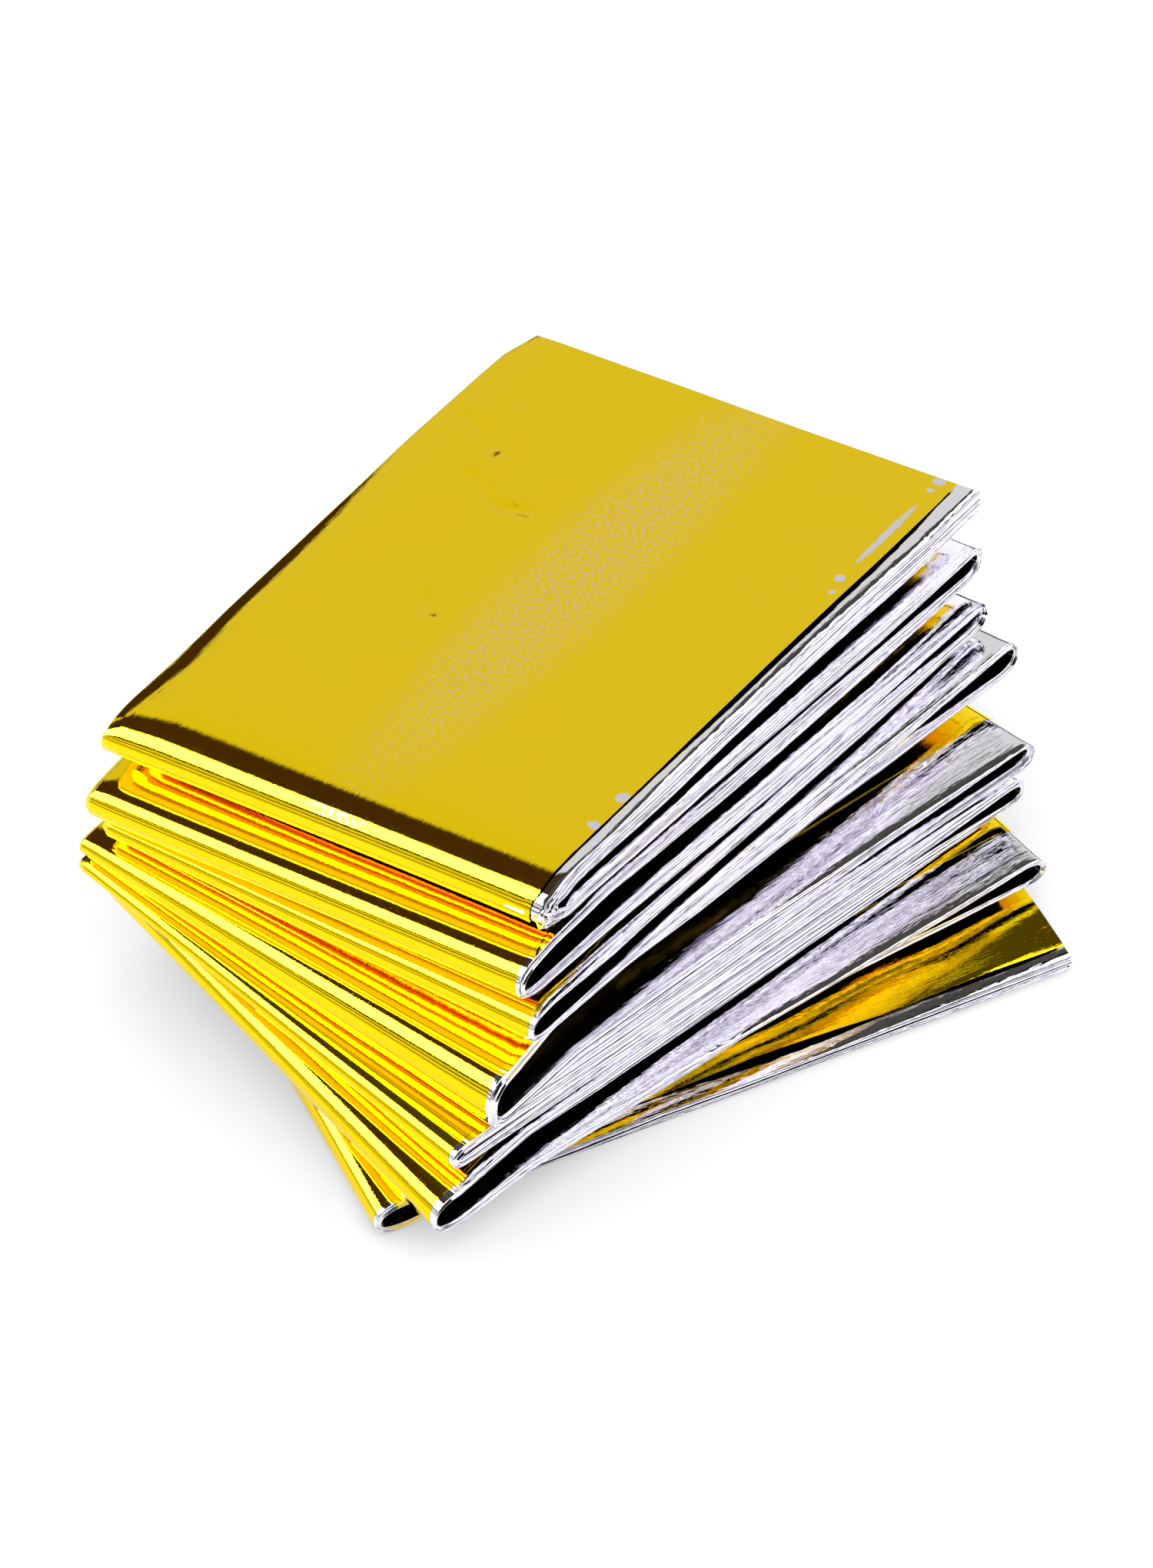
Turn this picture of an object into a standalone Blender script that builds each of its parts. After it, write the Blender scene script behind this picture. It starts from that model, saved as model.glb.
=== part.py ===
"""Emergency foil blanket, folded.

One sheet of metallised film lies folded into a long strip, and the strip lies
zigzag folded into fourteen panels. Each panel has swung a little round the one
above it, so the pack spreads like a hand fan. The solid is that strip, one back
and forth section with its panels a little apart.

Metres, +Z up. The top panel lies along Y, with its front turn at -Y, and the
origin is under the middle of the pack, on the surface that it rests on.
"""
import math
from typing import NamedTuple

import bmesh
import bpy
from mathutils import Vector

MM = 0.001

# Driving sizes
FLAT_WIDTH = 1600 * MM
FLAT_LENGTH = 2100 * MM
LAYERS_IN_STRIP = 16
PANELS = 14
END_THICKNESS = 3.2 * MM
CLOSED_SLIT = 0.8 * MM
TOP_END = Vector((-25.44 * MM, 89.35 * MM))

STRIP_WIDTH = FLAT_WIDTH / LAYERS_IN_STRIP
PANEL_LENGTH = FLAT_LENGTH / PANELS

# Steps of the mesh
STEPS_ACROSS = 2
STEPS_ALONG = 4
STEPS_ROUND_TURN = 6


class Fold(NamedTuple):
    """A fold across the strip, or one of its two ends, in mm and degrees.

    longer is what the panel before it has over the even length, from ridge to
    ridge, and turned is how far that panel lies clockwise of the top one.
    slant is the same for the fold's own ridge. left and right are the heights
    of the ridge's two ends. turn_left and turn_right are how high the turn
    stands there from outside to outside, and hollow is the gap inside the turn
    at its right end. reach is how far the turn runs out to its ridge.
    """

    name: str
    longer: float
    turned: float
    slant: float
    left: float
    right: float
    turn_left: float
    turn_right: float
    hollow: float
    reach: float


# From the top end of the strip to the bottom one. Fronts and backs take turns.
FOLDS = (
    Fold("top end", 0, 0, -1, 50.5, 54.5, 0, 0, 0, 0),
    Fold("front 1", -0.5, 0, 2.5, 55, 66, 10, 10, 1, 13),
    Fold("back 1", -3.5, 2, 1.5, 43, 46.5, 6.5, 7, 1, 6),
    Fold("front 2", 3, 2, 3, 43.5, 54, 8, 9, 3, 10),
    Fold("back 2", 0, 4, 4, 36, 38.5, 6.5, 7, 1, 6),
    Fold("front 3", -1, 3, 4.5, 37, 45, 4.5, 7, 3, 7),
    Fold("back 3", 0.5, 5.5, 4.5, 29, 31, 6.5, 6.5, 1, 6),
    Fold("front 4", 5.5, 7.5, 8, 31, 29.2, 4.5, 12.4, 7, 8),
    Fold("back 4", -1.5, 13, 11, 22.5, 23, 5.5, 6, 1, 5),
    Fold("front 5", 2, 13, 12, 26, 20, 3.5, 5, 1, 6),
    Fold("back 5", 1.5, 13.5, 14, 16, 16, 5.5, 6, 1, 5),
    Fold("front 6", 2, 13.5, 19, 17, 11.5, 6, 8, 4, 7),
    Fold("back 6", 2, 19, 22.5, 9.5, 9.5, 6, 6, 1, 5),
    Fold("front 7", -5.2, 23, 32.3, 5.2, 3.5, 10.4, 7, 2, 7),
    Fold("bottom end", -2.8, 30, 32, 1.6, 1.6, 0, 0, 0, 0),
)

# Colours of the film's two sides. The strip's right side shows silver ridges,
# and it faces +X or up to a third of a right angle clockwise of it.
GOLD = (0.78, 0.53, 0.03, 1.0)
SILVER = (0.62, 0.61, 0.65, 1.0)
FILM_ROUGHNESS = 0.13
RIGHT_SIDE_SPREAD = math.radians(40)
SHARP_EDGE = math.radians(35)


class Line(NamedTuple):
    """A fold's ridge in plan: its middle, its way across and its row."""

    middle: Vector
    across: Vector
    row: Fold


def across_at(degrees):
    """Give the unit vector across a strip that lies so far clockwise."""
    angle = math.radians(degrees)
    return Vector((math.cos(angle), -math.sin(angle)))


def fold_lines():
    """Follow the strip from fold to fold, and give each fold's line."""
    lines = []
    middle = TOP_END.copy()
    for index, row in enumerate(FOLDS):
        if index:
            way = 1 if index % 2 == 0 else -1
            length = PANEL_LENGTH + row.longer * MM
            middle = middle + across_at(row.turned).orthogonal() * way * length
        lines.append(Line(middle, across_at(row.slant), row))
    return lines


def mix(start, end, share):
    """Blend two numbers or vectors."""
    return start * (1 - share) + end * share


def place_across(line, share):
    """Give the plan point at a share of the way across a fold."""
    return line.middle + line.across * STRIP_WIDTH * (share - 0.5)


def end_section(line, share):
    """Give the lower and upper point of a free end, at a share across."""
    place = place_across(line, share)
    height = mix(line.row.left, line.row.right, share) * MM
    half = END_THICKNESS / 2
    return Vector((*place, height - half)), Vector((*place, height + half))


def turn_section(line, share, angle, outwards):
    """Give the outer and inner point of a turn, at an angle from its top."""
    row = line.row
    reach = row.reach * MM
    outer = mix(row.turn_left, row.turn_right, share) * MM / 2
    inner = mix(CLOSED_SLIT, row.hollow * MM, share ** 2) / 2
    inner_reach = max(inner, reach - (outer - inner))
    height = mix(row.left, row.right, share) * MM
    axis = place_across(line, share) - outwards * reach
    points = []
    for rise, run in ((outer, reach), (inner, inner_reach)):
        spot = axis + outwards * run * math.sin(angle)
        points.append(Vector((*spot, height + rise * math.cos(angle))))
    return points


def section(lines, index, angle):
    """Give a ring of points round the strip, at an end or an angle of a turn.

    The blanket's face is up on the top panel, so it is outside each front turn
    and inside each back one.
    """
    line = lines[index]
    at_front = index % 2 == 1
    outwards = line.across.orthogonal() * (-1 if at_front else 1)
    face = []
    lining = []
    for step in range(STEPS_ACROSS + 1):
        share = step / STEPS_ACROSS
        if line.row.turn_left:
            outer, inner = turn_section(line, share, angle, outwards)
            face.append(outer if at_front else inner)
            lining.append(inner if at_front else outer)
        else:
            lower, upper = end_section(line, share)
            face.append(upper if index == 0 else lower)
            lining.append(lower if index == 0 else upper)
    return face + lining[::-1]


def strip_rings():
    """Give the rings of points from the strip's top end to its bottom end."""
    lines = fold_lines()
    last = len(lines) - 1
    angles = [math.pi * step / STEPS_ROUND_TURN for step in range(STEPS_ROUND_TURN + 1)]
    turns = [[section(lines, 0, 0.0)]]
    for index in range(1, last):
        turns.append([section(lines, index, angle) for angle in angles])
    turns.append([section(lines, last, 0.0)])
    rings = []
    for before, after in zip(turns, turns[1:]):
        rings += before
        for step in range(1, STEPS_ALONG):
            share = step / STEPS_ALONG
            rings.append([mix(a, b, share) for a, b in zip(before[-1], after[0])])
    return rings + turns[-1]


def build_blanket():
    """Extrude the strip's section along all its panels and turns."""
    rings = strip_rings()
    mesh = bmesh.new()
    top_ring = [mesh.verts.new(point) for point in rings[0]]
    face = mesh.faces.new(top_ring)
    for points in rings[1:]:
        grown = bmesh.ops.extrude_discrete_faces(mesh, faces=[face])
        face = grown["faces"][0]
        for vert, point in zip(face.verts, points):
            vert.co = point
    mesh.faces.new(top_ring[::-1])
    bmesh.ops.recalc_face_normals(mesh, faces=mesh.faces)
    data = bpy.data.meshes.new("blanket")
    mesh.to_mesh(data)
    mesh.free()
    return data


def film_material(name, colour):
    """Make the plain material of one side of the film."""
    material = bpy.data.materials.new(name)
    material.use_nodes = True
    shader = material.node_tree.nodes["Principled BSDF"]
    shader.inputs["Base Color"].default_value = colour
    shader.inputs["Metallic"].default_value = 1.0
    shader.inputs["Roughness"].default_value = FILM_ROUGHNESS
    material.diffuse_color = colour
    return material


def dress(data):
    """Make the faces gold, but silver along the strip's ridged right side."""
    data.materials.append(film_material("gold film", GOLD))
    data.materials.append(film_material("silver film", SILVER))
    right = Vector((1, 0, 0))
    for polygon in data.polygons:
        on_right_side = polygon.normal.angle(right) < RIGHT_SIDE_SPREAD
        polygon.material_index = 1 if on_right_side else 0
    data.shade_smooth()
    data.set_sharp_from_angle(angle=SHARP_EDGE)


def clear_scene():
    """Remove the objects that the new file opens with."""
    for thing in list(bpy.data.objects):
        bpy.data.objects.remove(thing, do_unlink=True)


def main():
    """Build the blanket in an empty scene."""
    clear_scene()
    data = build_blanket()
    dress(data)
    blanket = bpy.data.objects.new("blanket", data)
    bpy.context.scene.collection.objects.link(blanket)


main()
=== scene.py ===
"""Emergency foil blanket, folded and fanned out on a pale floor.

The blanket is one sheet of metallised polyester film, gold on its face and
silver on its lining. It is folded lengthwise into a strip of sixteen layers,
and the strip is folded crosswise into fourteen panels. FoilSheet starts as a
flat grid in the sheet's own millimetres and carries every point to its place
in the folds. Metres and +Z up in the scene, as in the frame.
"""
import logging
import math
from dataclasses import dataclass, field
from enum import Enum

import bmesh
import bpy
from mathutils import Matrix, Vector, noise


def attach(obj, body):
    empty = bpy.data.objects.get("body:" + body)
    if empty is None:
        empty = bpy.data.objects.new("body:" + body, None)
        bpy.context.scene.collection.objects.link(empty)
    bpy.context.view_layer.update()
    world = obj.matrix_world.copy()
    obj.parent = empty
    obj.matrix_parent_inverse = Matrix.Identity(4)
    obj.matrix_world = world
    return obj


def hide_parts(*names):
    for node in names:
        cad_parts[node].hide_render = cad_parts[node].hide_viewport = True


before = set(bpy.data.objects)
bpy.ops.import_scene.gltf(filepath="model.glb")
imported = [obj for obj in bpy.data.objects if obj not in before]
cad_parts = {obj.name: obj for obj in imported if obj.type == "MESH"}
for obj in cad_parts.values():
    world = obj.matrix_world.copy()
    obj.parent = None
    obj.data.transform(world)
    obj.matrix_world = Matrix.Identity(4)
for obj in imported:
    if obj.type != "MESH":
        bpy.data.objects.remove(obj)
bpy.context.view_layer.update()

MM = 0.001
LOG = logging.getLogger("foil_blanket")


class Way(Enum):
    """The side of the pack that a crosswise fold lies on."""

    FRONT = -1
    BACK = 1


class Side(Enum):
    """The two faces of the film, in the order of its material slots."""

    GOLD = 0
    SILVER = 1


def linear_rgba(hex_colour: str) -> tuple[float, float, float, float]:
    """Turn an sRGB hex colour to linear values.

    Args:
        hex_colour: Six hex digits, such as "FFDC19".

    Returns:
        Linear red, green and blue, and an alpha of one.
    """
    channels = []
    for start in (0, 2, 4):
        value = int(hex_colour[start:start + 2], 16) / 255
        bright = ((value + 0.055) / 1.055) ** 2.4
        channels.append(value / 12.92 if value <= 0.04045 else bright)
    return channels[0], channels[1], channels[2], 1.0


def mix(start: float | Vector, end: float | Vector, share: float) -> float | Vector:
    """Blend two numbers or two vectors by a share from 0 to 1."""
    return start * (1 - share) + end * share


def smooth(low: float, high: float, value: float) -> float:
    """Rise smoothly from 0 at low to 1 at high.

    Args:
        low: Value where the rise begins.
        high: Value where it ends.
        value: Where it is read.

    Returns:
        A share from 0 to 1.
    """
    share = min(1.0, max(0.0, (value - low) / (high - low)))
    return share * share * (3 - 2 * share)


def ripple(seed: float, *place: float) -> float:
    """Read smooth noise, about -1 to 1, in a field of its own for each seed."""
    x, y = place if len(place) == 2 else (place[0], 0.37)
    return noise.noise(Vector((x + 17.3 * seed, y - 9.1 * seed, 3.7 * seed))) * 1.6


@dataclass(frozen=True)
class Fold:
    """A crosswise fold, or one of the strip's two ends, in mm and degrees.

    longer is what the panel before it has over the even length, and turned is
    how far that panel lies clockwise of the top one. slant is the same for the
    fold's own ridge. left and right are the heights of the ridge's two ends,
    turn_left and turn_right the height of the turn there, and hollow is the
    gap inside it at its right end. reach is how far the turn runs from its
    axis to its ridge. face_inset and lining_inset are how far the two gold cut
    edges lie inside the silver ridges at this fold.
    """

    name: str
    longer: float
    turned: float
    slant: float
    left: float
    right: float
    turn_left: float
    turn_right: float
    hollow: float
    reach: float
    face_inset: float
    lining_inset: float


# From the top end of the strip to its bottom end. Fronts and backs take turns.
FOLDS = (
    Fold("top end", 0, 0, -1, 50.5, 54.5, 0, 0, 0, 0, 4, 4),
    Fold("front 1", -0.5, 0, 2.5, 55, 66, 10, 10, 3, 13, 2.6, 14),
    Fold("back 1", -3.5, 2, 1.5, 43, 46.5, 6.5, 7, 4, 6, 20, 24),
    Fold("front 2", 3, 2, 3, 43.5, 54, 8, 9, 6, 10, 0.8, 14),
    Fold("back 2", 0, 4, 4, 36, 38.5, 6.5, 7, 3, 6, 14, 6),
    Fold("front 3", -1, 3, 4.5, 37, 45, 4.5, 7, 4.8, 7, 0.8, 14),
    Fold("back 3", 0.5, 5.5, 4.5, 29, 31, 6.5, 6.5, 4, 6, 14, 14),
    Fold("front 4", 5.5, 7.5, 8, 31, 29.2, 4.5, 12.4, 8, 8, 0.8, 14),
    Fold("back 4", -1.5, 13, 11, 22.5, 23, 5.5, 6, 3, 5, 12, 10),
    Fold("front 5", 2, 13, 12, 26, 20, 3.5, 5, 1.5, 6, 0.8, 12),
    Fold("back 5", 1.5, 13.5, 14, 16, 16, 5.5, 6, 3.5, 5, 12, 14),
    Fold("front 6", 2, 13.5, 19, 17, 11.5, 6, 8, 6, 7, 0.8, 16),
    Fold("back 6", 2, 19, 22.5, 9.5, 9.5, 6, 6, 3.5, 5, 12, 10),
    Fold("front 7", -5.2, 23, 32.3, 5.2, 3.5, 10.4, 7, 4, 7, 1.2, 5),
    Fold("bottom end", -2.8, 30, 32, 1.6, 1.6, 0, 0, 0, 0, 3, 3),
)


def across_at(degrees: float) -> Vector:
    """Give the unit vector across a strip that lies so far clockwise."""
    angle = math.radians(degrees)
    return Vector((math.cos(angle), -math.sin(angle)))


@dataclass
class StripPath:
    """The folded strip as a solid band, the same one as the frame's.

    top_end is the plan place of the middle of the top panel's free end. A
    point of the band has a share across from the left side, a depth from the
    face to the lining, and a length along the strip. end_cover is how far the
    outer face of a free end stands off its own height. closed_slit is the gap
    inside a closed turn, and an open turn closes over opening_run of its
    panels' length. A squareness of 2 makes a turn an ellipse, and more swells
    it. clearance is what a panel keeps below the fold over it, and crown_run
    how far behind that fold it has risen there.
    """

    folds: tuple[Fold, ...] = FOLDS
    width: float = 100.0
    panel: float = 150.0
    end_thickness: float = 5.5
    end_cover: float = 1.6
    closed_slit: float = 0.8
    clearance: float = 0.45
    squareness: float = 2.6
    first_squareness: float = 2.3
    opening_power: float = 2.0
    opening_run: float = 0.42
    opening_fade: float = 2.2
    crown_run: float = 16.0
    top_end: Vector = field(default_factory=lambda: Vector((-25.44, 89.35)))

    def __post_init__(self) -> None:
        """Work out each fold's plan place, its length along and its turn."""
        self.middles = []
        self.stations = []
        middle = self.top_end.copy()
        station = 0.0
        for index, row in enumerate(self.folds):
            if index:
                length = self.panel + row.longer
                forth = across_at(row.turned).orthogonal() * self.way(index).value
                middle = middle + forth * length
                station += length
            self.middles.append(middle)
            self.stations.append(station)
        self.half_turns = [self.half_turn(row) for row in self.folds]
        self.crowns = [self.crown_at(index) for index in range(len(self.folds))]

    @staticmethod
    def way(index: int) -> Way:
        """Give the side of the pack that a fold lies on."""
        return Way.FRONT if index % 2 else Way.BACK

    @staticmethod
    def half_turn(row: Fold) -> float:
        """Give the film's length from the start of a turn to its ridge."""
        if not row.turn_left:
            return 0.0
        rise = (row.turn_left + row.turn_right) / 4
        return math.pi / 2 * math.sqrt((row.reach ** 2 + rise ** 2) / 2)

    def ridge_place(self, index: int, share: float) -> Vector:
        """Give the plan place of a fold's ridge at a share across."""
        aside = across_at(self.folds[index].slant) * self.width * (share - 0.5)
        return self.middles[index] + aside

    def crown_at(self, index: int) -> tuple[tuple[float, float], ...]:
        """Work out how far a panel rises behind a front fold to the fold over it.

        Args:
            index: The front fold's number.

        Returns:
            The rise and the distance behind the ridge, at the left and right ends.
        """
        if self.way(index) is Way.BACK or index < 3:
            return ((0.0, 1.0), (0.0, 1.0))
        row, over = self.folds[index], self.folds[index - 2]
        backwards = across_at(row.turned).orthogonal()
        ends = []
        for share in (0.0, 1.0):
            top = mix(row.left, row.right, share) + mix(row.turn_left, row.turn_right, share) / 2
            low = mix(over.left, over.right, share)
            low -= mix(over.turn_left, over.turn_right, share) / 2
            step = self.ridge_place(index - 2, share) - self.ridge_place(index, share)
            ends.append((max(0.0, low - top - self.clearance), step.dot(backwards)))
        return tuple(ends)

    def crown(self, index: int, share: float, behind: float) -> float:
        """Give the rise of the panel over a front fold.

        Args:
            index: The front fold's number.
            share: Share across, from the left side.
            behind: Distance behind the fold's ridge.

        Returns:
            The rise, in millimetres.
        """
        left, right = self.crowns[index]
        rise = mix(left[0], right[0], share)
        if rise <= 0:
            return 0.0
        under = mix(left[1], right[1], share)
        start = smooth(max(2.0, under - 1.0), max(2.0, under) + self.crown_run, behind)
        return rise * start * max(0.0, 1 - behind / self.panel)

    def opening(self, row: Fold, share: float) -> float:
        """Give half the gap that a turn's layers leave inside it, at a share across."""
        return max(0.0, row.hollow - self.closed_slit) / 2 * share ** self.opening_power

    def inside(self, index: int, depth: float) -> float:
        """Give how far a depth lies towards the inside of a fold, from 0 to 1."""
        return depth if self.way(index) is Way.FRONT else 1 - depth

    def squarer(self, index: int, value: float) -> float:
        """Swell a sine or cosine, so that a turn has a flat top and a tight ridge."""
        power = self.first_squareness if index == 1 else self.squareness
        return math.copysign(abs(value) ** (2 / power), value)

    def fold_point(
        self, index: int, share: float, depth: float, angle: float, fullness: float = 1.0
    ) -> Vector:
        """Give a point of a turn or an end.

        Args:
            index: The fold's number.
            share: Share across, from the left side.
            depth: 0 at the face and 1 at the lining.
            angle: Angle round the turn from its upper start, in radians.
            fullness: Share of the turn's hollow that is counted in.

        Returns:
            The point in millimetres.
        """
        row = self.folds[index]
        height = mix(row.left, row.right, share)
        place = self.middles[index] + across_at(row.slant) * self.width * (share - 0.5)
        if not row.turn_left:
            rise = self.end_cover - self.end_thickness * depth
            return Vector((*place, height + (rise if index == 0 else -rise)))
        outer_rise = mix(row.turn_left, row.turn_right, share) / 2
        inner_rise = self.closed_slit / 2 + self.opening(row, share) * fullness
        thickness = outer_rise - inner_rise
        inner_reach = max(inner_rise, row.reach - thickness)
        inside = self.inside(index, depth)
        rise = mix(outer_rise, inner_rise, inside)
        reach = mix(row.reach, inner_reach, inside)
        outwards = across_at(row.slant).orthogonal() * self.way(index).value
        out = reach * self.squarer(index, math.sin(angle)) - row.reach
        up = rise * self.squarer(index, math.cos(angle))
        return Vector((*(place + outwards * out), height + up))

    def point(self, share: float, depth: float, along: float) -> Vector:
        """Give the point of the band at a share across, a depth and a length along.

        Args:
            share: Share across, from the left side.
            depth: 0 at the face and 1 at the lining.
            along: Length along the strip from its top end, in millimetres.

        Returns:
            The point in millimetres.
        """
        last = len(self.folds) - 1
        for index in range(1, last):
            gap = along - self.stations[index]
            half = self.half_turns[index]
            if abs(gap) <= half:
                angle = math.pi / 2 * (1 + gap / half)
                point = self.fold_point(index, share, depth, angle)
                if gap < 0:
                    out = self.squarer(index, math.sin(angle))
                    behind = self.folds[index].reach * (1 - out)
                    point.z += self.crown(index, share, behind)
                return point
        index = max(i for i in range(last) if self.stations[i] <= along or i == 0)
        start = self.stations[index] + self.half_turns[index]
        end = self.stations[index + 1] - self.half_turns[index + 1]
        run = min(1.0, max(0.0, (along - start) / (end - start)))
        before = self.fold_point(index, share, depth, math.pi if index else 0.0, 0.0)
        after = self.fold_point(index + 1, share, depth, 0.0, 0.0)
        point = mix(before, after, run)
        for number, gap, sign in ((index, run, -1), (index + 1, 1 - run, 1)):
            fade = max(0.0, 1 - gap / self.opening_run) ** self.opening_fade
            hollow = self.opening(self.folds[number], share) * fade
            point.z += sign * hollow * self.inside(number, depth)
        behind = self.folds[index + 1].reach + (1 - run) * (end - start)
        point.z += self.crown(index + 1, share, behind)
        return point


@dataclass
class Crease:
    """A soft trough or ridge on the top panel, in mm.

    The crease runs through its points, each a place across from the strip's
    left side and a place back from the front ridge. It is height high, or deep
    where that is negative, and fades over its breadth to either side.
    """

    points: tuple[tuple[float, float], ...]
    height: float
    breadth: float

    def lift(self, across: float, back: float) -> float:
        """Give how far the crease lifts the film.

        Args:
            across: Place across from the strip's left side.
            back: Place back from the front ridge.

        Returns:
            The lift, in millimetres.
        """
        nearest = min(
            self.distance(across, back, start, end)
            for start, end in zip(self.points, self.points[1:])
        )
        return self.height * math.exp(-((nearest / self.breadth) ** 2))

    @staticmethod
    def distance(
        across: float, back: float, start: tuple[float, float], end: tuple[float, float]
    ) -> float:
        """Give the distance from a place to a straight run of the crease.

        Args:
            across: Place across from the strip's left side.
            back: Place back from the front ridge.
            start: Where the run starts.
            end: Where it ends.

        Returns:
            The distance, in millimetres.
        """
        place = Vector((across, back))
        low = Vector(start)
        run = Vector(end) - low
        share = min(1.0, max(0.0, (place - low).dot(run) / run.length_squared))
        return (place - low - run * share).length


TOP_CREASES = (
    Crease(((4, 119), (9, 116), (15, 112)), -0.35, 1.5),
    Crease(((12, 126), (17, 112), (20, 104), (27, 99)), 0.3, 1.5),
    Crease(((16, 103), (24, 97), (31, 98)), -0.35, 1.5),
    Crease(((34, 107), (39, 93), (42, 84)), -0.12, 2.0),
    Crease(((33, 60), (37, 52), (39, 40)), 0.2, 1.4),
    Crease(((30, 66), (34, 62)), -0.35, 1.4),
)


@dataclass
class FoilSheet:
    """One sheet of metallised film, folded along a strip path.

    Its own coordinates run 1600 mm across and 2100 mm along. Across, the film
    starts at the top layer's cut edge on the right side and turns back at each
    hundred millimetres. Sizes are in millimetres.

    bend is half the film's length round a lengthwise ridge, and bend_depth how
    far the ridge stands out. ridge_step and gap_step are the least and the
    extra share of the depth that a ridge and the gap between two ridges take.
    crumple is how crushed the first front turn's right end is. The top panel's
    outer layer lies face_lift higher than the rest, its left edge falls by
    edge_drop near the front corner, and the silver rim beside its cut edge by
    rim_drop. The bottom panel falls by bottom_slope to the right, and its
    outer layer has waves of bottom_wave. end_step is how far the inner layers
    stand out at the top end. tip_spread is how far the right ends of some
    front folds stand out, over tip_run to each side.
    """

    path: StripPath = field(default_factory=StripPath)
    layers: int = 16
    film: float = 0.03
    bend: float = 0.7
    bend_depth: float = 0.32
    ridge_step: tuple[float, float] = (0.7, 1.1)
    gap_step: tuple[float, float] = (0.2, 0.3)
    crumple: float = 0.9
    face_lift: float = 0.3
    edge_drop: float = 0.6
    rim_drop: float = 0.8
    bottom_wave: float = 1.3
    bottom_slope: float = 2.2
    end_step: float = 0.5
    end_run: float = 20.0
    end_spread: float = 1.0
    left_spread: float = 1.7
    tip_spread: float = 2.4
    tip_run: float = 28.0
    wide_tips: tuple[int, ...] = (7, 11, 13)
    name: str = "foil_blanket_film"

    @property
    def flat_width(self) -> float:
        """The sheet's size across the strip's layers."""
        return self.layers * self.path.width

    @property
    def flat_length(self) -> float:
        """The sheet's size along the strip."""
        return self.path.stations[-1]

    def side_reach(self, ridge: int, along: float) -> float:
        """Give how far a lengthwise ridge or cut edge stands past the strip's side.

        Args:
            ridge: 0 and 16 are the cut edges, and the rest are the ridges.
            along: Length along the strip.

        Returns:
            The overhang, which is negative inside the side.
        """
        slow = ripple(ridge + 1, along / 95)
        fast = ripple(ridge + 31, along / 23)
        if ridge in (0, self.layers):
            tip = self.tip_reach(along) if ridge == 0 else 0.0
            return tip - self.cut_inset(ridge, along) + 0.35 * slow + 0.1 * fast
        fringe = -0.6 if ridge % 2 else -0.4 + self.tip_reach(along)
        if ridge % 2 == 0 and along < 60.0:
            fringe += self.end_spread * (1 - smooth(5.0, 60.0, along))
        if ridge % 2 and along < self.path.stations[1]:
            bulge = smooth(0.0, 9.0, along) * (1 - smooth(30.0, 110.0, along))
            fringe += self.left_spread * bulge
        fringe += 0.7 * ripple(ridge + 71, 0.5)
        return fringe + 0.9 * slow + 0.25 * fast

    def tip_reach(self, along: float) -> float:
        """Give how far the right ends of the lower front folds stand out.

        Args:
            along: Length along the strip.

        Returns:
            The reach, in millimetres.
        """
        reach = 0.0
        for index in self.wide_tips:
            near = 1 - abs(along - self.path.stations[index]) / self.tip_run
            reach = max(reach, self.tip_spread * smooth(0.0, 1.0, near))
        return reach

    def cut_inset(self, edge: int, along: float) -> float:
        """Give how far a gold cut edge lies inside the strip's side.

        Args:
            edge: 0 for the face's cut edge, and 16 for the lining's.
            along: Length along the strip.

        Returns:
            The inset, in millimetres.
        """
        stations = self.path.stations
        index = max(i for i in range(len(stations) - 1) if stations[i] <= along or i == 0)
        run = (along - stations[index]) / (stations[index + 1] - stations[index])
        start, end = self.path.folds[index], self.path.folds[index + 1]
        if edge == 0:
            return mix(start.face_inset, end.face_inset, run)
        return mix(start.lining_inset, end.lining_inset, run)

    def depths(self, right_side: bool, along: float) -> list[float]:
        """Give the depth of every layer at one side of the strip.

        Args:
            right_side: True for the side with the silver ridges.
            along: Length along the strip.

        Returns:
            A depth from 0 to 1 for each layer, in order.
        """
        key = (right_side, round(along, 3))
        if key not in self.depth_table:
            seed = 60 if right_side else 90
            steps = []
            for layer in range(self.layers + 1):
                in_ridge = (layer % 2 == 0) == right_side
                loose = (1 + ripple(seed + layer, along / 70)) ** 2
                least, extra = self.ridge_step if in_ridge else self.gap_step
                steps.append(least + extra * loose)
            steps[0] = steps[-1] = 0.2
            total = sum(steps)
            depth = 0.0
            table = []
            for step in steps[:-1]:
                depth += step / total
                table.append(depth)
            self.depth_table[key] = table
        return self.depth_table[key]

    def __post_init__(self) -> None:
        """Start the table of depths that are already worked out."""
        self.depth_table = {}

    def layer_depth(self, layer: int, share: float, along: float) -> float:
        """Give a layer's depth, even in the middle and uneven at the two sides.

        Args:
            layer: The layer's number, from the top one.
            share: Share across, from the left side.
            along: Length along the strip.

        Returns:
            The depth from 0 to 1.
        """
        even = (layer + 0.5) / self.layers
        on_right = smooth(0.72, 1.0, share)
        on_left = smooth(0.28, 0.0, share) if share < 0.28 else 0.0
        depth = even * (1 - on_right - on_left)
        if on_right:
            depth += on_right * self.depths(True, along)[layer]
        if on_left:
            depth += on_left * self.depths(False, along)[layer]
        return depth

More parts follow.
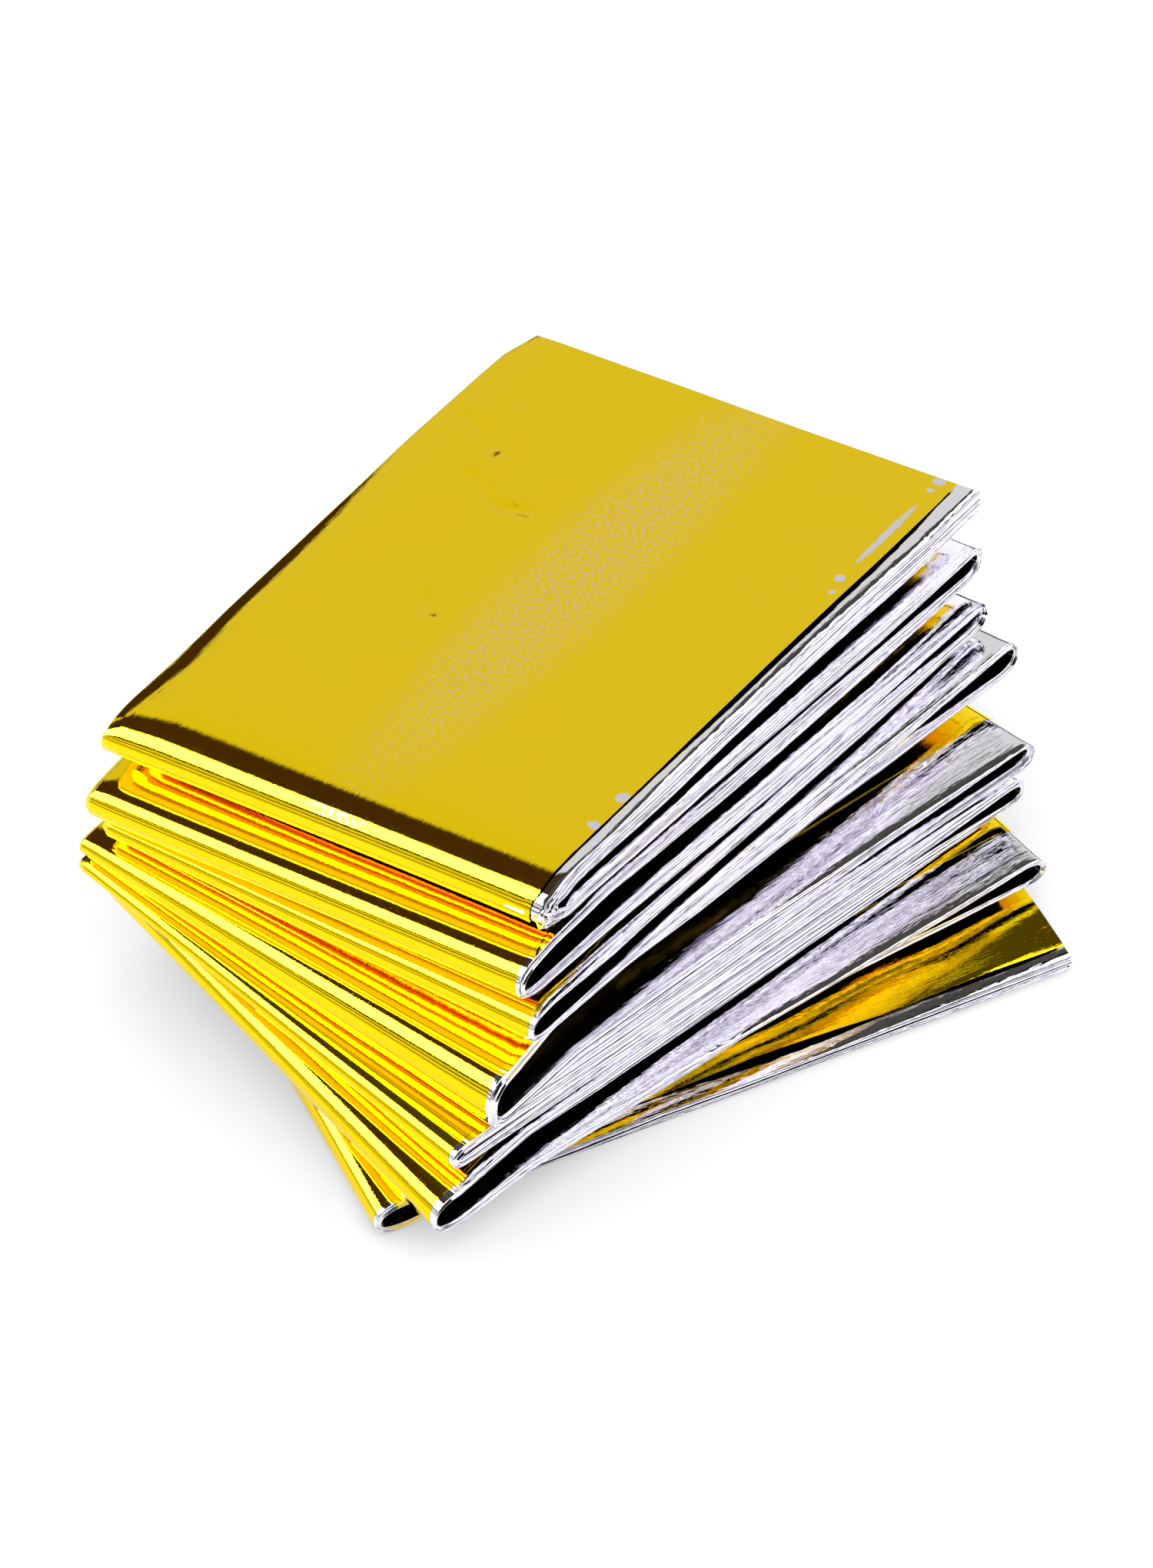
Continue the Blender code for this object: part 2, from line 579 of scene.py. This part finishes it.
    def section_place(self, across: float, along: float) -> tuple[float, float]:
        """Carry a place across the sheet into the strip's cross-section.

        Args:
            across: Place across the flat sheet.
            along: Length along it.

        Returns:
            The share across the strip and the depth in it.
        """
        width = self.path.width
        ridge = round(across / width)
        at_ridge = 0 < ridge < self.layers and abs(across - ridge * width) < self.bend
        layer = min(self.layers - 1, int(across // width))
        ridges = (layer, layer + 1) if not at_ridge else (ridge, ridge)
        ends = []
        for number in ridges:
            overhang = self.side_reach(number, along)
            on_left = number % 2 == 1
            edge = -overhang if on_left else width + overhang
            tucked = self.bend_depth if 0 < number < self.layers else 0.0
            ends.append((edge + tucked if on_left else edge - tucked, on_left))
        if at_ridge:
            tangent, on_left = ends[0]
            turn = math.pi / 2 * (across - ridge * width) / self.bend
            outwards = self.bend_depth * math.cos(turn)
            share = (tangent - outwards if on_left else tangent + outwards) / width
            before = self.layer_depth(ridge - 1, share, along)
            after = self.layer_depth(ridge, share, along)
            return share, mix(before, after, (1 + math.sin(turn)) / 2)
        run = (across - layer * width) / width
        share = mix(ends[0][0], ends[1][0], run) / width
        return share, self.layer_depth(layer, share, along)

    def place(self, across: float, along: float) -> Vector:
        """Carry a point of the flat sheet to its place in the folded pack.

        Args:
            across: Place across the flat sheet, in millimetres.
            along: Length along it.

        Returns:
            The point in metres.
        """
        share, depth = self.section_place(across, along)
        point = self.path.point(share, depth, along)
        if across > self.path.width and along < self.end_run:
            point.y += self.end_step * (1 - along / self.end_run)
        point.z += self.waviness(share, depth, across, along)
        point += self.crumpled(share, along)
        point.z = max(point.z, self.film)
        return point * MM

    def crumpled(self, share: float, along: float) -> Vector:
        """Crush the right end of the first front turn.

        Args:
            share: Share across, from the left side.
            along: Length along the strip.

        Returns:
            The shift of a point there, in millimetres.
        """
        near = 1 - abs(along - self.path.stations[1] - 2.0) / 16.0
        amount = smooth(0.93, 0.99, share) * max(0.0, near)
        if amount <= 0:
            return Vector((0.0, 0.0, 0.0))
        shift = [ripple(seed, share * 55, along / 3.1) for seed in (131, 132, 133)]
        return Vector(shift) * self.crumple * amount

    def waviness(self, share: float, depth: float, across: float, along: float) -> float:
        """Give how far the film stands off the even band, upwards.

        Args:
            share: Share across the strip, from the left side.
            depth: 0 at the face and 1 at the lining.
            across: Place across the flat sheet.
            along: Length along it.

        Returns:
            The lift, in millimetres.
        """
        stations = self.path.stations
        lift = 0.12 * ripple(5, share * 2.2 + along / 150, along / 60)
        if along < stations[1]:
            back = stations[1] - along
            relief = sum(crease.lift(share * 100, back) for crease in TOP_CREASES)
            relief += 0.03 * ripple(8, share * 7, along / 14)
            relief *= smooth(0.0, 0.04, share) * smooth(10.0, 24.0, back)
            at_corner = smooth(0.0, 6.0, back) * (1 - smooth(14.0, 44.0, back))
            drop = self.edge_drop * (1 - smooth(0.005, 0.045, share)) * at_corner
            if across > self.path.width:
                drop += self.rim_drop * max(0.0, share - 0.88) / 0.12 * (
                    smooth(8.0, 22.0, along) * smooth(110.0, 75.0, along)
                )
            lift += (relief - drop) * (1 - depth)
            if across < self.path.width:
                inside = smooth(0.0, 0.06, share) * smooth(1.0, 0.97, min(share, 0.999))
                lift += self.face_lift * inside * smooth(0.0, 8.0, back)
        if along > stations[-2]:
            past = along - stations[-2]
            lift -= self.bottom_slope * max(0.0, share - 0.5) * 2 * depth * min(1.0, past / 90)
            if across > self.flat_width - self.path.width:
                inside = smooth(0.0, 0.06, share) * smooth(1.0, 0.96, min(share, 0.999))
                wave = 0.5 + 0.5 * ripple(11, share * 7, along / 25)
                lift += self.bottom_wave * wave * inside * smooth(12.0, 45.0, past)
        return lift

    def rows_along(self) -> list[float]:
        """Give the grid's rows of points.

        Returns:
            Lengths along the sheet, rising.
        """
        rows = []
        stations = self.path.stations
        for index in range(len(stations) - 1):
            start = stations[index] + self.path.half_turns[index]
            end = stations[index + 1] - self.path.half_turns[index + 1]
            flat_steps = 15 if index == 0 else 8
            rows += [mix(start, end, step / flat_steps) for step in range(flat_steps)]
            if index + 1 < len(stations) - 1:
                half = self.path.half_turns[index + 1]
                middle = stations[index + 1]
                turn_steps = 16 if index == 0 else 10 if index % 2 == 0 else 8
                rows += [
                    middle + half * (2 * step / turn_steps - 1) for step in range(turn_steps)
                ]
        return rows + [stations[-1]]

    def columns_across(self) -> list[float]:
        """Give the grid's columns of points.

        Returns:
            Places across the sheet, rising.
        """
        outer = (0.0, 3.0, 12.0, 25.0, 38.0, 50.0, 58.0, 67.0, 76.0, 88.0, 97.0)
        inner = (2.0, 12.0, 50.0, 88.0, 98.0)
        columns = []
        for layer in range(self.layers):
            marks = outer if layer in (0, self.layers - 1) else inner
            start = layer * self.path.width
            if layer:
                columns += [start - self.bend, start - self.bend / 3]
                columns += [start + self.bend / 3, start + self.bend]
            columns += [start + mark for mark in marks if mark or not layer]
        return columns + [self.flat_width]

    def build(self) -> bpy.types.Object:
        """Make the sheet as a grid, refine its outer panels and fold it.

        Returns:
            The film's object, at the origin.
        """
        rows = self.rows_along()
        columns = self.columns_across()
        sheet = bmesh.new()
        bmesh.ops.create_grid(
            sheet, x_segments=len(columns) - 1, y_segments=len(rows) - 1, size=0.5
        )
        self.spread(sheet, columns, rows)
        self.refine(sheet)
        many_sided = [face for face in sheet.faces if len(face.verts) > 4]
        bmesh.ops.triangulate(sheet, faces=many_sided)
        for edge in sheet.edges:
            edge.smooth = not edge.is_boundary
        self.map_flat(sheet)
        for vert in sheet.verts:
            vert.co = self.place(vert.co.x, vert.co.y)
        return self.finish_mesh(sheet)

    def spread(self, sheet: bmesh.types.BMesh, columns: list[float], rows: list[float]) -> None:
        """Move the even grid's points to the sheet's own columns and rows.

        Args:
            sheet: The grid, one unit wide and long.
            columns: Places across the sheet.
            rows: Lengths along it.
        """
        for vert in sheet.verts:
            column = round((vert.co.x + 0.5) * (len(columns) - 1))
            row = round((vert.co.y + 0.5) * (len(rows) - 1))
            vert.co = (columns[column], rows[row], 0.0)

    def refine(self, sheet: bmesh.types.BMesh) -> None:
        """Divide the outer faces of the top and bottom panels, for their relief.

        Args:
            sheet: The flat sheet.
        """
        turn = self.path.stations[1] - self.path.half_turns[1] - 5.0
        creased = (50.0, 0.0, 97.5, turn)
        top = (0.0, 0.0, 97.5, turn)
        last = self.flat_width - self.path.width
        bottom = (last + 2.5, self.path.stations[-2] + 12.0, self.flat_width, self.flat_length)
        for low_x, low_y, high_x, high_y in (top, top, creased, bottom, bottom):
            edges = [
                edge
                for edge in sheet.edges
                if all(
                    low_x - 0.1 < v.co.x < high_x + 0.1 and low_y - 0.1 < v.co.y < high_y + 0.1
                    for v in edge.verts
                )
            ]
            bmesh.ops.subdivide_edges(sheet, edges=edges, cuts=1, use_grid_fill=True)

    def map_flat(self, sheet: bmesh.types.BMesh) -> None:
        """Give the film its UV map, which is the flat sheet.

        Args:
            sheet: The flat sheet.
        """
        layer = sheet.loops.layers.uv.new("flat_sheet")
        for face in sheet.faces:
            face.smooth = True
            for loop in face.loops:
                place = loop.vert.co
                loop[layer].uv = (place.x / self.flat_width, place.y / self.flat_length)

    def finish_mesh(self, sheet: bmesh.types.BMesh) -> bpy.types.Object:
        """Turn the folded sheet into an object with the film's thickness.

        Args:
            sheet: The folded sheet, which is freed.

        Returns:
            The film's object.
        """
        mesh = bpy.data.meshes.new(self.name)
        sheet.to_mesh(mesh)
        sheet.free()
        film = bpy.data.objects.new(self.name, mesh)
        bpy.context.scene.collection.objects.link(film)
        # The second shell takes the next slot, so its faces are silver
        wall = film.modifiers.new("film thickness", "SOLIDIFY")
        wall.thickness = self.film * MM
        wall.offset = 0.0
        wall.material_offset = Side.SILVER.value
        return film


def find_input(node: bpy.types.Node, key: str | int) -> bpy.types.NodeSocket:
    """Find a node's input by number, or by name among those in use."""
    if isinstance(key, int):
        return node.inputs[key]
    return next(socket for socket in node.inputs if socket.name == key and socket.enabled)


def add_node(
    tree: bpy.types.NodeTree,
    kind: str,
    links: dict | None = None,
    values: dict | None = None,
    **settings,
) -> bpy.types.Node:
    """Add a shader node with its settings, its values and its links.

    Args:
        tree: The node tree.
        kind: The node's type, without its "ShaderNode" prefix.
        links: Output sockets by the name or number of the input they feed.
        values: Constants by the name or number of their input.
        settings: The node's own properties.

    Returns:
        The new node.
    """
    node = tree.nodes.new("ShaderNode" + kind)
    for key, value in settings.items():
        setattr(node, key, value)
    for key, value in (values or {}).items():
        find_input(node, key).default_value = value
    for key, socket in (links or {}).items():
        tree.links.new(socket, find_input(node, key))
    return node


@dataclass(frozen=True)
class Patch:
    """A worn place on the flat sheet: its middle, half size and turn, in mm and degrees."""

    across: float
    along: float
    half_across: float
    half_along: float
    turn: float = 0.0

    def mask(
        self, tree: bpy.types.NodeTree, place: bpy.types.NodeSocket, edge: float
    ) -> bpy.types.NodeSocket:
        """Make a share that is 1 inside the patch.

        Args:
            tree: The node tree.
            place: Socket with the place on the flat sheet, in mm.
            edge: Share of the patch's size over which it fades out.

        Returns:
            Socket with the share.
        """
        moved = add_node(
            tree, "Mapping", {"Vector": place},
            {
                "Location": (self.across, self.along, 0.0),
                "Rotation": (0.0, 0.0, math.radians(self.turn)),
                "Scale": (self.half_across, self.half_along, 1.0),
            },
            vector_type="TEXTURE",
        )
        reach = add_node(
            tree, "VectorMath", {0: moved.outputs["Vector"]}, operation="LENGTH"
        )
        share = add_node(
            tree, "MapRange", {0: reach.outputs["Value"]}, {1: 1.0 + edge, 2: 1.0 - edge},
            interpolation_type="SMOOTHSTEP",
        )
        return share.outputs[0]


# Bare silver specks near the top layer's cut edge, from the front to the back
WORN_PATCHES = (
    Patch(3.2, 21.5, 0.75, 11.0),
    Patch(3.2, 38.5, 1.1, 1.1),
    Patch(2.0, 43.2, 0.7, 0.8),
    Patch(1.2, 116.0, 1.3, 1.4),
    Patch(1.0, 125.3, 1.7, 1.1),
    Patch(3.6, 1.2, 1.4, 1.2),
    Patch(3.4, 4.6, 0.8, 0.7),
)
# The speckled streak down the middle of the top panel
FROST = Patch(46.0, 62.0, 10.0, 60.0)


@dataclass(frozen=True)
class FilmFinish:
    """One side of polyester film with a vacuum metallised layer.

    The metal gives a bright mirror. Soft wrinkles bend it a little, and fine
    streaks from the rollers, along the sheet, make the edges of what it
    reflects ragged. bare_colour is the metal where the dye has worn off, and
    frost_colour that of the speckled streak.
    """

    name: str
    colour: str
    roughness: float
    worn: bool = False
    wrinkle_mm: float = 7.0
    wrinkle_depth_mm: float = 0.02
    streak_mm: tuple[float, float] = (1.1, 9.0)
    streak_depth_mm: float = 0.03
    speckle_mm: float = 0.9
    bare_colour: str = "E6E2EC"
    frost_colour: str = "F4CFA4"
    frost_strength: float = 0.7
    jitter_mm: float = 1.6

    def material(self, sheet: FoilSheet) -> bpy.types.Material:
        """Make the finish.

        Args:
            sheet: The sheet whose flat size scales the UV map.

        Returns:
            The material.
        """
        material = bpy.data.materials.new(self.name)
        material.use_nodes = True
        tree = material.node_tree
        shader = tree.nodes["Principled BSDF"]
        shader.inputs["Base Color"].default_value = linear_rgba(self.colour)
        shader.inputs["Metallic"].default_value = 1.0
        shader.inputs["Roughness"].default_value = self.roughness
        uv = add_node(tree, "UVMap", uv_map="flat_sheet")
        flat = add_node(
            tree, "Mapping", {"Vector": uv.outputs["UV"]},
            {"Scale": (sheet.flat_width, sheet.flat_length, 1.0)},
        ).outputs["Vector"]
        self.bend_mirror(tree, flat, shader)
        if self.worn:
            self.wear(tree, flat, shader)
        return material

    def bend_mirror(
        self, tree: bpy.types.NodeTree, flat: bpy.types.NodeSocket, shader: bpy.types.Node
    ) -> None:
        """Bend the reflections with wrinkles and roller streaks.

        Args:
            tree: The node tree.
            flat: Socket with the place on the flat sheet, in mm.
            shader: The film's shader.
        """
        wrinkles = add_node(
            tree, "TexNoise", {"Vector": flat},
            {"Scale": 1.0 / self.wrinkle_mm, "Detail": 3.0},
        )
        soft = add_node(
            tree, "Bump", {"Height": wrinkles.outputs["Fac"]},
            {"Strength": 1.0, "Distance": self.wrinkle_depth_mm * MM},
        )
        drawn = add_node(
            tree, "Mapping", {"Vector": flat},
            {"Scale": (1 / self.streak_mm[0], 1 / self.streak_mm[1], 1.0)},
        )
        streaks = add_node(
            tree, "TexNoise", {"Vector": drawn.outputs["Vector"]},
            {"Scale": 1.0, "Detail": 4.0, "Roughness": 0.7},
        )
        fine = add_node(
            tree, "Bump",
            {"Height": streaks.outputs["Fac"], "Normal": soft.outputs["Normal"]},
            {"Strength": 1.0, "Distance": self.streak_depth_mm * MM},
        )
        tree.links.new(fine.outputs["Normal"], shader.inputs["Normal"])

    def wear(
        self, tree: bpy.types.NodeTree, flat: bpy.types.NodeSocket, shader: bpy.types.Node
    ) -> None:
        """Rub the colour off in patches, and frost a speckled streak.

        Args:
            tree: The node tree.
            flat: Socket with the place on the flat sheet, in mm.
            shader: The film's shader.
        """
        jitter = add_node(
            tree, "TexNoise", {"Vector": flat}, {"Scale": 1.0 / self.speckle_mm, "Detail": 3.0}
        )
        centred = add_node(
            tree, "VectorMath", {0: jitter.outputs["Color"]}, {1: (0.5, 0.5, 0.5)},
            operation="SUBTRACT",
        )
        ragged = add_node(
            tree, "VectorMath", {0: centred.outputs[0], 2: flat},
            {1: (self.jitter_mm, self.jitter_mm, 0.0)},
            operation="MULTIPLY_ADD",
        ).outputs[0]
        bare = None
        for patch in WORN_PATCHES:
            share = patch.mask(tree, ragged, 0.12)
            if bare is None:
                bare = share
            else:
                bare = add_node(
                    tree, "Math", {0: bare, 1: share}, operation="MAXIMUM"
                ).outputs[0]
        specks = add_node(
            tree, "MapRange", {0: jitter.outputs["Fac"]}, {1: 0.48, 2: 0.6}
        )
        streak = add_node(
            tree, "Math", {0: specks.outputs[0], 1: FROST.mask(tree, ragged, 0.6)},
            operation="MULTIPLY",
        )
        frost = add_node(
            tree, "Math", {0: streak.outputs[0]}, {1: self.frost_strength}, operation="MULTIPLY"
        ).outputs[0]
        frosted = add_node(
            tree, "Mix", {"Factor": frost},
            {"A": linear_rgba(self.colour), "B": linear_rgba(self.frost_colour)},
            data_type="RGBA",
        )
        worn = add_node(
            tree, "Mix", {"Factor": bare, "A": frosted.outputs["Result"]},
            {"B": linear_rgba(self.bare_colour)}, data_type="RGBA",
        )
        tree.links.new(worn.outputs["Result"], shader.inputs["Base Color"])


# Gives the eye a greenish yellow mirror, dark brown where it reflects the dark
GOLD_FILM = FilmFinish("gold vacuum metallised polyester film", "FCD90C", 0.05, worn=True)
# Gives a cool white mirror that breaks into black and white lines on the ridges
SILVER_FILM = FilmFinish(
    "silver vacuum metallised polyester film", "F4F2F8", 0.03,
    streak_mm=(2.4, 26.0), streak_depth_mm=0.09,
)


class Lie(Enum):
    """The way that a long studio panel lies, by the direction's numbers that it reads.

    Each value names the axis that the panel runs along, and the one from which
    its angle rises towards the zenith.
    """

    ALONG_X = ("X", "Y")
    ALONG_Y = ("Y", "X")


def band(
    tree: bpy.types.NodeTree, place: bpy.types.NodeSocket, low: float, high: float, edge: float
) -> bpy.types.NodeSocket:
    """Make a share that is 1 between two values and fades outside them.

    Args:
        tree: The node tree.
        place: Socket with the value that is compared.
        low: Value where the band begins.
        high: Value where it ends.
        edge: Distance over which it fades.

    Returns:
        Socket with the share.
    """
    half = (high - low) / 2
    offset = add_node(tree, "Math", {0: place}, {1: low + half}, operation="SUBTRACT")
    away = add_node(tree, "Math", {0: offset.outputs[0]}, operation="ABSOLUTE")
    share = add_node(
        tree, "MapRange", {0: away.outputs[0]}, {1: half + edge, 2: half},
        interpolation_type="SMOOTHSTEP",
    )
    return share.outputs[0]


# How far a panel's own ends fade, as a part of the direction's length
END_FADE = 0.04


@dataclass(frozen=True)
class Surround:
    """A long panel of the studio's surroundings, far from the pack.

    Seen along its length, it spans start to end, in degrees above the horizon
    of +Y for a panel along X, or of +X for one along Y. near and far bound the
    part of the direction that runs along it, and it fades over edge degrees.
    """

    name: str
    lie: Lie
    start: float
    end: float
    edge: float
    near: float
    far: float
    colour: str
    strength: float

    def add(
        self, tree: bpy.types.NodeTree, parts: bpy.types.Node, under: bpy.types.NodeSocket
    ) -> bpy.types.NodeSocket:
        """Lay the panel over the surroundings made so far.

        Args:
            tree: The world's node tree.
            parts: Node with the direction that is looked in, by axis.
            under: Socket with the colour so far.

        Returns:
            Socket with the colour, the panel included.
        """
        along, ahead = self.lie.value
        angle = add_node(
            tree, "Math", {0: parts.outputs["Z"], 1: parts.outputs[ahead]},
            operation="ARCTAN2",
        )
        turned = band(
            tree, angle.outputs[0],
            math.radians(self.start), math.radians(self.end), math.radians(self.edge),
        )
        beside = band(tree, parts.outputs[along], self.near, self.far, END_FADE)
        mask = add_node(tree, "Math", {0: turned, 1: beside}, operation="MULTIPLY")
        colour = Vector(linear_rgba(self.colour)[:3]) * self.strength
        mixed = add_node(
            tree, "Mix", {"Factor": mask.outputs[0], "A": under}, {"B": (*colour, 1.0)},
            data_type="RGBA",
        )
        return mixed.outputs["Result"]


@dataclass
class Studio:
    """The pale floor, the room's light and the camera.

    Angles are in degrees, distances in metres, and lens_px is the lens's
    length in pixels of a frame that is frame_height_px high. floor_glow keeps
    the paper white, and sky is the even light that it gets from all round.
    """

    azimuth: float = 32.87
    elevation: float = 43.24
    distance: float = 1.147
    target: tuple[float, float, float] = (-0.02761, 0.0296, 0.0)
    lens_px: float = 7600.0
    frame_height_px: float = 2040.0
    sensor: float = 36.0
    floor_size: float = 6.0
    bounces: int = 6
    floor_glow: float = 0.4
    sky: float = 0.95
    dark: str = "0E0D12"
    surrounds: tuple[Surround, ...] = (
        Surround("backdrop", Lie.ALONG_X, -3, 59, 4, -1.2, 1.2, "DEDDDC", 1.0),
        Surround("ceiling", Lie.ALONG_X, 62, 95, 3, -1.2, 0.1, "43301E", 1.0),
        Surround("front softbox", Lie.ALONG_X, 95, 131, 1, -1.2, 0.0, "F2F2FF", 60.0),
        Surround("front wall", Lie.ALONG_X, 140, 152, 0.7, -1.2, 1.2, "E4E2E0", 0.95),
        Surround("front shelf", Lie.ALONG_X, 158, 168, 0.7, -1.2, 1.2, "F4F2F0", 1.3),
        Surround("front skirting", Lie.ALONG_X, 172, 184, 0.7, -1.2, 1.2, "E4E2E0", 0.9),
        Surround("left side", Lie.ALONG_Y, 153, 176, 3, 0.3, 1.2, "43301E", 1.0),
        Surround("right side", Lie.ALONG_Y, -2, 114, 2, -1.2, 1.2, "050508", 1.0),
        Surround("right ceiling", Lie.ALONG_Y, 104, 114, 2, -1.2, 1.2, "4C4A46", 1.0),
        Surround("right softbox", Lie.ALONG_Y, 86, 99, 1.5, -1.2, 1.2, "FFFFFF", 3.5),
        Surround("right wall", Lie.ALONG_Y, 70, 80, 1.5, -1.2, 1.2, "D4D0DC", 0.9),
        Surround("right window", Lie.ALONG_Y, 36, 60, 1.5, 0.06, 1.2, "FAF8FF", 2.0),
        Surround("right skirting", Lie.ALONG_Y, 2, 20, 1.5, -1.2, 1.2, "A5A2B0", 0.7),
    )

    def build(self) -> None:
        """Make the whole studio."""
        self.build_floor()
        self.build_world()
        self.build_camera()
        scene = bpy.context.scene
        scene.view_settings.view_transform = "Standard"
        scene.cycles.max_bounces = self.bounces
        scene.cycles.glossy_bounces = self.bounces
        scene.cycles.caustics_reflective = False

    def build_floor(self) -> None:
        """Make the floor that the blanket rests on."""
        plane = bmesh.new()
        bmesh.ops.create_grid(plane, x_segments=1, y_segments=1, size=self.floor_size / 2)
        mesh = bpy.data.meshes.new("studio_floor")
        plane.to_mesh(mesh)
        plane.free()
        floor = bpy.data.objects.new("studio_floor", mesh)
        bpy.context.scene.collection.objects.link(floor)
        # Matt white paper, which shows only the pack's soft shadow
        material = bpy.data.materials.new("white paper sweep")
        material.use_nodes = True
        shader = material.node_tree.nodes["Principled BSDF"]
        shader.inputs["Base Color"].default_value = linear_rgba("F2F2F2")
        shader.inputs["Roughness"].default_value = 0.9
        shader.inputs["Specular IOR Level"].default_value = 0.0
        shader.inputs["Emission Color"].default_value = (1.0, 1.0, 1.0, 1.0)
        shader.inputs["Emission Strength"].default_value = self.floor_glow
        mesh.materials.append(material)

    def build_world(self) -> None:
        """Light the pack with panels in a dark room, and show a white one behind it."""
        world = bpy.data.worlds.new("studio room")
        bpy.context.scene.world = world
        world.use_nodes = True
        tree = world.node_tree
        ray = add_node(tree, "TexCoord").outputs["Generated"]
        parts = add_node(tree, "SeparateXYZ", {0: ray})
        base = add_node(tree, "RGB")
        base.outputs[0].default_value = linear_rgba(self.dark)
        colour = base.outputs[0]
        for surround in self.surrounds:
            colour = surround.add(tree, parts, colour)
        path = add_node(tree, "LightPath")
        even = add_node(
            tree, "Mix", {"Factor": path.outputs["Is Diffuse Ray"], "A": colour},
            {"B": (self.sky, self.sky, self.sky, 1.0)}, data_type="RGBA",
        )
        seen = add_node(
            tree, "Mix", {"Factor": path.outputs["Is Camera Ray"], "A": even.outputs["Result"]},
            {"B": (1.0, 1.0, 1.0, 1.0)}, data_type="RGBA",
        )
        world.cycles.sampling_method = "NONE"
        tree.links.new(seen.outputs["Result"], tree.nodes["Background"].inputs["Color"])

    def build_camera(self) -> None:
        """Put the camera at the photograph's viewing angle."""
        azimuth = math.radians(self.azimuth)
        elevation = math.radians(self.elevation)
        forwards = Vector((
            -math.sin(azimuth) * math.cos(elevation),
            math.cos(azimuth) * math.cos(elevation),
            -math.sin(elevation),
        ))
        lens = bpy.data.cameras.new("camera")
        lens.sensor_fit = "VERTICAL"
        lens.sensor_height = self.sensor
        lens.lens = self.sensor * self.lens_px / self.frame_height_px
        camera = bpy.data.objects.new("camera", lens)
        bpy.context.scene.collection.objects.link(camera)
        camera.location = Vector(self.target) - forwards * self.distance
        camera.rotation_euler = forwards.to_track_quat("-Z", "Y").to_euler()
        bpy.context.scene.camera = camera


def main() -> None:
    """Build the blanket and its studio, in order."""
    logging.basicConfig(level=logging.INFO, format="%(message)s")
    sheet = FoilSheet()
    film = sheet.build()
    for finish in (GOLD_FILM, SILVER_FILM):
        film.data.materials.append(finish.material(sheet))
    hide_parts("blanket")
    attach(film, "root")
    LOG.info("film: %d faces", len(film.data.polygons))
    Studio().build()


if __name__ == "__main__":
    main()
